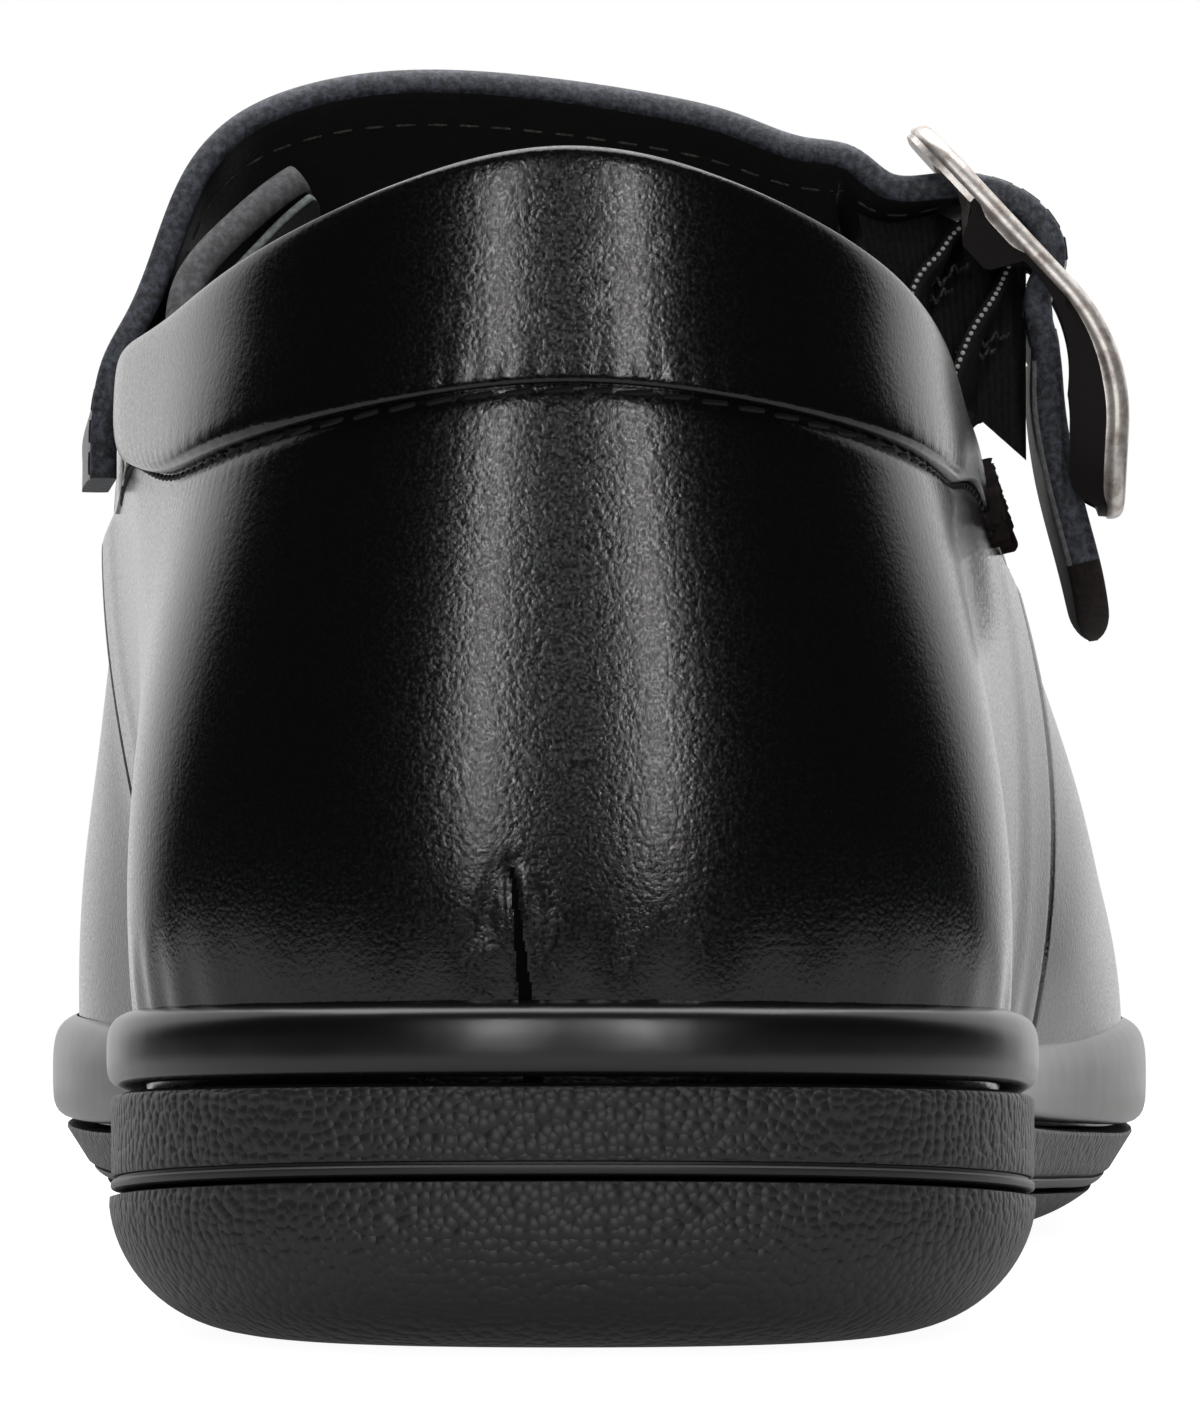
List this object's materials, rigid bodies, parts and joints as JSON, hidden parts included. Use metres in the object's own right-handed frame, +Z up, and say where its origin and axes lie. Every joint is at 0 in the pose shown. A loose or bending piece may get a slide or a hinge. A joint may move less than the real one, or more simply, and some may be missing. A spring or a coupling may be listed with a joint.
{
  "type": "school shoe",
  "caption": "Right-foot black leather school shoe with a padded collar, a buckled instep strap held by elastic, and a moulded rubber sole with a low heel.",
  "frame": {"origin": "on the floor, under the centre of the sole's bounding box", "axes": "+Y from heel to toe, +X to the outer (lateral) side of the right foot, +Z up"},
  "size_m": [0.0884, 0.2462, 0.0903],
  "materials": {
    "leather": "smooth full-grain leather, semi-gloss",
    "sole_rubber": "matt, finely pebbled",
    "rand_rubber": "smooth, glossy",
    "lining": "matt lining leather",
    "webbing": "woven elastic",
    "nickel": "polished nickel plate"
  },
  "bodies": {
    "root": {"outsole": "sole_rubber", "midsole": "sole_rubber", "rand": "rand_rubber", "insole": "lining", "upper": "leather", "strap": "leather", "strap_tab": "leather", "elastic": "webbing", "buckle_frame": "nickel", "buckle_prong": "nickel"}
  },
  "joints": []
}
